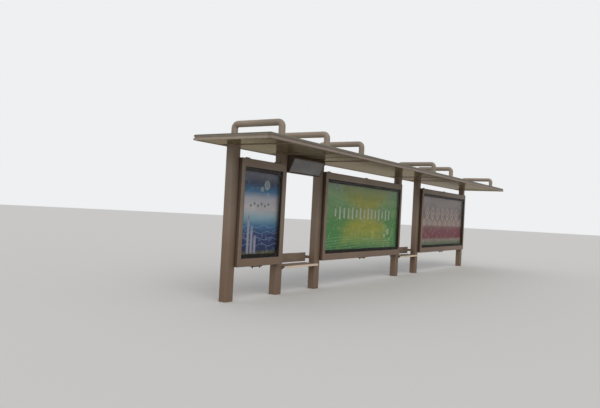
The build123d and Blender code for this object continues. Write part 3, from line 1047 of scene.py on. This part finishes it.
shape = bmesh.new()
screws = bmesh.new()
for x in POST_X:
    for start, end in CAP_SPANS:
        for vert in brick(shape, (x - CAP_HALF, start, 0), (x + CAP_HALF, end, CAP_THICK)):
            vert.co.z += roof_top(vert.co.y) - SUNK
        for y in spaced(start, end, max(2, round((end - start) / CAP_SCREW_STEP))):
            for side in (-CAP_SCREW_OUT, CAP_SCREW_OUT):
                place = (x + side * CAP_HALF, y, roof_top(y) + CAP_THICK - SUNK)
                dome(screws, place, (0, 0, 1), *SHEET_SCREW)
finish_piece("roof_joint_caps", shape, "shelter", roof_sheet)
finish_piece("roof_cap_screws", screws, "shelter", bare_steel)

# %% [markdown]
# ## Boots round the hoops' legs
#
# Where a leg goes through the roof it has a rubber boot, held by a steel clamp with a small lug for its
# screw. Boot and clamp are turned like a pot: half of the section is drawn as an outline beside the tube
# and spun once round it.

# %% Boots and clamps
INNER = TUBE + 0.0003
BOOT = (
    (INNER, -0.001),
    (TUBE + 0.024, -0.001),
    (TUBE + 0.024, 0.003),
    (TUBE + 0.012, 0.004),
    (TUBE + 0.007, 0.009),
    (TUBE + 0.004, 0.034),
    (TUBE + 0.002, 0.036),
    (INNER, 0.036),
)
CLAMP = ((TUBE + 0.0045, 0.022), (TUBE + 0.0060, 0.022), (TUBE + 0.0055, 0.031), (TUBE + 0.0040, 0.031))
LUG_LOW, LUG_HIGH = Vector((TUBE + 0.005, -0.006, 0.023)), Vector((TUBE + 0.014, 0.006, 0.030))


def turned_ring(shape, outline, foot):
    """Turns a closed outline of radius and height once round an upright line through the foot."""
    verts = [shape.verts.new(foot + Vector((radius, 0, height))) for radius, height in outline]
    edges = [shape.edges.new(pair) for pair in zip(verts, verts[1:] + verts[:1])]
    turn = {"cent": foot, "axis": (0, 0, 1), "dvec": (0, 0, 0), "angle": math.tau, "steps": 32}
    bmesh.ops.spin(shape, geom=verts + edges, use_merge=True, **turn)


boots = bmesh.new()
clamps = bmesh.new()
for x in POST_X:
    for y in (0, FRONT_LEG):
        foot = Vector((x, y, roof_top(y)))
        turned_ring(boots, BOOT, foot)
        turned_ring(clamps, CLAMP, foot)
        brick(clamps, foot + LUG_LOW, foot + LUG_HIGH)
finish_piece("hoop_boots", boots, "shelter", rubber)
finish_piece("boot_clamps", clamps, "shelter", bare_steel)

# %% [markdown]
# ## Joints across the ceiling
#
# The lengths of the ceiling meet where those of the roof's edge do, over the middle of each bench bay. A
# narrow painted strip covers the joint from front to rear. A line in the paint would do from afar, but the
# strip stands proud by three millimetres, and its side catches the light.

# %% Joint strips
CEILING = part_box("soffit_panels")[0].z
STRIP_HALF, STRIP_INSET, STRIP_PROUD, STRIP_SUNK = 0.014, 0.04, 0.003, 0.001
shape = bmesh.new()
for x in SPLICES:
    start = (x - STRIP_HALF, ROOF_LOW.y + STRIP_INSET, CEILING - STRIP_PROUD)
    brick(shape, start, (x + STRIP_HALF, ROOF_HIGH.y - STRIP_INSET, CEILING + STRIP_SUNK))
finish_piece("ceiling_joint_strips", shape, "shelter", frame_paint)

# %% [markdown]
# ## Door edges and seals
#
# The sides of each door are closed by a brown rubber moulding that meets the post when the door shuts, and
# a thin bulb seal runs round behind the door, on the rim of the case. A moulding is a plain strip with its
# long edges eased, because only its front shows in the narrow gap beside the post.

# %% Side mouldings
DOOR_FOOT, DOOR_HEAD, DOOR_BACK = 0.585, 2.450, -0.096
CHAMFER = 0.006
MOULD_OUT, MOULD_IN, MOULD_EASE = 0.0012, 0.004, 0.001
for number in (1, 2, 3):
    low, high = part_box(f"door_frame_{number}")
    shape = bmesh.new()
    for side, inwards in ((low.x, 1), (high.x, -1)):
        left, right = sorted((side - inwards * MOULD_OUT, side + inwards * MOULD_IN))
        start = (left, low.y + CHAMFER + MOULD_IN, DOOR_FOOT + MOULD_EASE)
        brick(shape, start, (right, DOOR_BACK, DOOR_HEAD - MOULD_EASE))
    round_off(shape, edges_along(shape.verts, 2), MOULD_EASE, steps=2)
    finish_piece(f"door_side_moulding_{number}", shape, f"case_door_{number}", brown_rubber)

# %% Bulb seals
CASE_FRONT = -0.091
SEAL_OVER, SEAL_PROUD, SEAL_WIDE = 0.002, 0.0045, 0.008
for number in (1, 2, 3):
    low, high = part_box(f"poster_{number}")
    start = (low.x - SEAL_OVER, CASE_FRONT - SEAL_PROUD, low.z - SEAL_OVER)
    end = (high.x + SEAL_OVER, CASE_FRONT + SUNK, high.z + SEAL_OVER)
    band_piece(f"case_bulb_seal_{number}", "shelter", start, end, SEAL_WIDE, rubber)

# %% [markdown]
# ## Corner cuts
#
# The front of each door is made of four painted lengths, cut at a slant at the corners. The fine bead of
# sealer in each cut is what tells the eye that it is not one plate. Each bead is a thin block made along X
# and then turned to run from the outer corner of the frame to the inner one.

# %% Beads in the corner cuts
STILE, RAIL = 0.085, 0.140
CUT_END, CUT_PROUD, CUT_HALF = 0.001, 0.0003, 0.0006
for number in (1, 2, 3):
    low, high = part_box(f"door_frame_{number}")
    shape = bmesh.new()
    for (x, over), (z, up) in product(((low.x, 1), (high.x, -1)), ((DOOR_FOOT, 1), (DOOR_HEAD, -1))):
        start = Vector((x + over * CHAMFER, low.y, z + up * CHAMFER))
        run = Vector((x + over * STILE, low.y, z + up * RAIL)) - start
        bead = brick(shape, (CUT_END, -CUT_PROUD, -CUT_HALF), (run.length - CUT_END, CUT_HALF, CUT_HALF))
        turn = Vector((1, 0, 0)).rotation_difference(run).to_matrix().to_4x4()
        bmesh.ops.transform(shape, matrix=Matrix.Translation(start) @ turn, verts=bead)
    finish_piece(f"door_corner_cuts_{number}", shape, f"case_door_{number}", rubber)

# %% [markdown]
# ## Pins and locks
#
# Every hinge pin ends in a low steel head outside its ear. Under each case two lock barrels show a steel
# face with a key slot. The slot could be cut into the face, but at a centimetre across a thin dark bar set
# on it looks the same and keeps the mesh simple.

# %% Hinge heads, lock faces and key slots
POST_HALF = 0.105
HINGE_Y, HINGE_Z = -0.0935, 2.463
KNUCKLE, HINGE_GAP, EAR = 0.060, 0.001, 0.024
END_INSET, HINGE_STEP = 0.180, 1.7
HINGE_HEAD = (0.0065, 0.004)
LOCK_SPACING, LOCK_Y, LOCK_FOOT = 0.220, -0.066, 0.537
LOCK_FACE = (0.011, 0.003)
SLOT_HALF_LONG, SLOT_HALF_WIDE, SLOT_LOW, SLOT_HIGH = 0.0045, 0.0012, -0.0028, -0.0023

for number in (1, 2, 3):
    left, right = POST_X[2 * number - 2] + POST_HALF, POST_X[2 * number - 1] - POST_HALF
    first, last = left + END_INSET, right - END_INSET
    steps = max(1, round((last - first) / HINGE_STEP))
    shape = bmesh.new()
    for step in range(steps + 1):
        x = first + (last - first) * step / steps
        for side in (-1, 1):
            end = x + side * (KNUCKLE / 2 + HINGE_GAP + EAR - SUNK)
            dome(shape, (end, HINGE_Y, HINGE_Z), (side, 0, 0), *HINGE_HEAD)
    slots = bmesh.new()
    for x in ((left + right - LOCK_SPACING) / 2, (left + right + LOCK_SPACING) / 2):
        dome(shape, (x, LOCK_Y, LOCK_FOOT + SUNK), (0, 0, -1), *LOCK_FACE)
        start = (x - SLOT_HALF_LONG, LOCK_Y - SLOT_HALF_WIDE, LOCK_FOOT + SLOT_LOW)
        brick(slots, start, (x + SLOT_HALF_LONG, LOCK_Y + SLOT_HALF_WIDE, LOCK_FOOT + SLOT_HIGH))
    finish_piece(f"hinge_heads_and_lock_faces_{number}", shape, "shelter", bare_steel)
    finish_piece(f"key_slots_{number}", slots, "shelter", rubber)

# %% [markdown]
# ## Screws in the beads
#
# The glazing beads are held by small screws that show when a door is open. They stand in a row along each
# edge, a little under 30 centimetres apart. One helper places them all, and the rear plates' screws too.

# %% Bead screws
BEAD_SCREW = (0.0035, 0.0016)
BEAD_SCREW_STEP, BEAD_SCREW_ROWS, BEAD_SUNK = 0.3, 6, 0.0004


def screw_frame(shape, low, high, y, inset, columns, rows, head):
    """Screws that face the rear, in a row along each edge of an upright rectangle."""
    places = [(x, y, z) for x in spaced(low.x, high.x, columns) for z in (low.z + inset, high.z - inset)]
    places += [(x, y, z) for z in spaced(low.z, high.z, rows) for x in (low.x + inset, high.x - inset)]
    for place in places:
        dome(shape, place, (0, 1, 0), *head)


for number in (1, 2, 3):
    low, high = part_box(f"door_glass_{number}")
    back = high.y + BEAD_BACK - BEAD_SUNK
    columns = round((high.x - low.x) / BEAD_SCREW_STEP)
    shape = bmesh.new()
    screw_frame(shape, low, high, back, LIP / 2, columns, BEAD_SCREW_ROWS, BEAD_SCREW)
    finish_piece(f"bead_screws_{number}", shape, f"case_door_{number}", bare_steel)

# %% [markdown]
# ## Backs of the cases
#
# From behind, a case is a plain tray. A removable plate covers most of its back, so that the lamps can be
# reached, and it is held by screws along its edges. Bevelled edges keep the plate from looking cut from
# paper.

# %% Rear plates
REAR_INSET, PLATE, PLATE_EASE = 0.030, 0.003, 0.0015
PLATE_SCREW_INSET, PLATE_SCREW_STEP, PLATE_SCREW_ROWS = 0.015, 0.35, 5
for number in (1, 2, 3):
    low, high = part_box(f"poster_{number}")
    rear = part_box(f"case_{number}")[1].y
    start = Vector((low.x + REAR_INSET, rear - SUNK, low.z + REAR_INSET))
    end = Vector((high.x - REAR_INSET, rear + PLATE, high.z - REAR_INSET))
    shape = bmesh.new()
    brick(shape, start, end)
    rim = [edge for edge in shape.edges if all(vert.co.y > rear for vert in edge.verts)]
    round_off(shape, rim, PLATE_EASE, steps=2)
    finish_piece(f"case_rear_plate_{number}", shape, "shelter", case_paint)

    shape = bmesh.new()
    columns = round((end.x - start.x) / PLATE_SCREW_STEP)
    back = rear + PLATE - SUNK
    screw_frame(shape, start, end, back, PLATE_SCREW_INSET, columns, PLATE_SCREW_ROWS, SHEET_SCREW)
    finish_piece(f"rear_plate_screws_{number}", shape, "shelter", bare_steel)

# %% [markdown]
# ## Bench bolts
#
# The seats and boards are bolted to plates on the posts. The bolts that show are hexagon heads on washers
# under the seat, and smooth domes on top of it, where a hand or a coat would catch on anything sharper.

# %% Bolts and washers
SEAT_BOLT, SEAT_BOLT_IN, SEAT_BOLT_EDGE = (0.011, 0.0035), 0.045, 0.07
WASHER, BOLT_DROP, PLATE_FACE = (0.011, 0.002), 0.045, 0.0135
HEX_RADIUS, HEX_DEPTH, HEX_MIDDLE, HEX_OUT = 0.0085, 0.007, 0.005, 0.04
END_BOLT, END_BOLT_IN, END_BOLT_Y = (0.010, 0.003), 0.0115, 0.10
BOARD_BOLT, BOARD_BOLT_IN, BOARD_BOLT_UP = (0.009, 0.003), 0.04, 0.05
BOLT_SUNK = 0.0004


def hex_head(shape, x, y, z):
    """A hexagon bolt head that faces along X."""
    place = Matrix.Translation((x, y, z)) @ Matrix.Rotation(QUARTER, 4, "Y")
    widths = {"radius1": HEX_RADIUS, "radius2": HEX_RADIUS}
    bmesh.ops.create_cone(shape, cap_ends=True, segments=6, depth=HEX_DEPTH, matrix=place, **widths)


shape = bmesh.new()
for number in (1, 2):
    seat_low, seat_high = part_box(f"seat_{number}")
    board_low, board_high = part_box(f"backrest_{number}")
    under = seat_high.z - BOLT_DROP
    for x, inwards in ((seat_low.x, 1), (seat_high.x, -1)):
        for y in (seat_low.y + SEAT_BOLT_EDGE, seat_high.y - SEAT_BOLT_EDGE):
            dome(shape, (x + inwards * SEAT_BOLT_IN, y, seat_high.z - BOLT_SUNK), (0, 0, 1), *SEAT_BOLT)
        for y in (-HEX_OUT, HEX_OUT):
            dome(shape, (x + inwards * PLATE_FACE, y, under), (inwards, 0, 0), *WASHER)
            hex_head(shape, x + inwards * (PLATE_FACE + HEX_MIDDLE), y, under)
        end = (x + inwards * END_BOLT_IN, END_BOLT_Y, (board_low.z + board_high.z) / 2)
        dome(shape, end, (inwards, 0, 0), *END_BOLT)
    for x in (board_low.x + BOARD_BOLT_IN, board_high.x - BOARD_BOLT_IN):
        for z in (board_low.z + BOARD_BOLT_UP, board_high.z - BOARD_BOLT_UP):
            dome(shape, (x, board_low.y + BOLT_SUNK, z), (0, -1, 0), *BOARD_BOLT)
finish_piece("bench_bolts", shape, "shelter", bare_steel)

# %% [markdown]
# ## The display's rim
#
# The display sits in a rubber ring, and small screws hold its rim. The face leans, so the ring is made
# upright and then turned about the top edge of the face, where the brow folds back to the ceiling.

# %% Ring and rim screws
BROW = Vector((SPLICES[0], -0.227, 2.604))
FACE_TALL, RIM = 0.310, 0.016
RING_FRONT, RING_BACK, RING_WIDE, RING_OVER = 0.0015, 0.0062, 0.006, 0.001
RIM_SCREW, RIM_SCREW_SUNK, STEPS_IN_HALF = (0.0038, 0.0018), 0.0003, 3.1
face_low, face_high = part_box("sign_screen")
half = (face_high.x - face_low.x) / 2
screw_step = half / STEPS_IN_HALF
onto_face = Matrix.Translation(BROW) @ Matrix.Rotation(LEAN, 4, "X")

shape = bmesh.new()
start = (-half - RING_OVER, RING_FRONT, RIM - FACE_TALL - RING_OVER)
band(shape, start, (half + RING_OVER, RING_BACK, RING_OVER - RIM), RING_WIDE)
bmesh.ops.transform(shape, matrix=onto_face, verts=shape.verts)
finish_piece("display_ring", shape, "shelter", rubber)

shape = bmesh.new()
for step in range(-3, 4):
    for z in (-RIM / 2, RIM / 2 - FACE_TALL):
        dome(shape, (step * screw_step, RIM_SCREW_SUNK, z), (0, -1, 0), *RIM_SCREW)
bmesh.ops.transform(shape, matrix=onto_face, verts=shape.verts)
finish_piece("display_rim_screws", shape, "shelter", bare_steel)

# %% [markdown]
# ## The floor
#
# The shelter stands on a plain pale floor. The camera sees it paler than the shelter does, so that it
# throws no more light on the ceiling than warm stone would. Light Path tells which ray is asking.

# %% Floor
FLOOR_RADIUS = 120
FLOOR_MIDDLE = (6, 0, -0.001)
shape = bmesh.new()
bmesh.ops.create_circle(shape, cap_ends=True, segments=96, radius=FLOOR_RADIUS)
bmesh.ops.translate(shape, verts=shape.verts, vec=FLOOR_MIDDLE)
floor_mesh = bpy.data.meshes.new("pale_floor")
shape.to_mesh(floor_mesh)
shape.free()
floor = bpy.data.objects.new("pale_floor", floor_mesh)
bpy.context.scene.collection.objects.link(floor)

floor_finish = Finish("pale_floor", (0.47, 0.41, 0.35, 1), Roughness=0.9, Specular_IOR_Level=0.1)
floor_finish.lay(floor_finish.node("LightPath").out("Is Camera Ray"), (0.68, 0.66, 0.63, 1))
floor_mesh.materials.append(floor_finish.material)
floor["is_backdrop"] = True
print("floor radius in metres:", FLOOR_RADIUS)

# %% [markdown]
# ## Sky and lamp
#
# A soft even sky lights the shelter, with one wide lamp towards the front to shape it. The light is kept
# plain, so that a colour shows about as it was written. The camera, and whatever is mirrored or seen
# through glass, gets a paler sky than the one that lights.

# %% Sky
world = bpy.data.worlds.new("soft_sky")
world.use_nodes = True
bpy.context.scene.world = world
sky = Web(world.node_tree)
sky.tree.nodes.remove(sky.tree.nodes["Background"])
ray = sky.node("LightPath")
seen = ray.out("Is Camera Ray").most(ray.out("Is Glossy Ray")).most(ray.out("Is Transmission Ray"))
lighting = sky.node("Background", {}, {"Color": (0.82, 0.85, 0.90, 1), "Strength": 0.75})
backdrop = sky.node("Background", {}, {"Color": (0.86, 0.87, 0.88, 1)})
either = sky.node("MixShader", {}, {0: seen, 1: lighting, 2: backdrop})
sky.plug(either, sky.tree.nodes["World Output"].inputs["Surface"])
print("nodes in the sky:", len(sky.tree.nodes))

# %% Wide lamp
LAMP_SIDE = Vector((-0.55, -0.60, 0.62))
lamp_data = bpy.data.lights.new("wide_sun", "SUN")
lamp_data.energy = 1.1
lamp_data.angle = math.radians(50)
lamp_data.color = (1.0, 0.97, 0.92)
sun = bpy.data.objects.new("wide_sun", lamp_data)
sun.matrix_world = LAMP_SIDE.to_track_quat("Z", "Y").to_matrix().to_4x4()
bpy.context.scene.collection.objects.link(sun)
bpy.context.scene.view_settings.view_transform = "Standard"
print("lamp angle in degrees:", round(math.degrees(lamp_data.angle)))

# %% [markdown]
# ## The last checks
#
# A finish must not change how large the shelter is. Its size is measured once more and written down beside
# the size of the CAD model, and then the frame is closed.

# %% Size of the shelter
low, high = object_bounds()
print("visual size in metres:", [round(size, 3) for size in high - low])
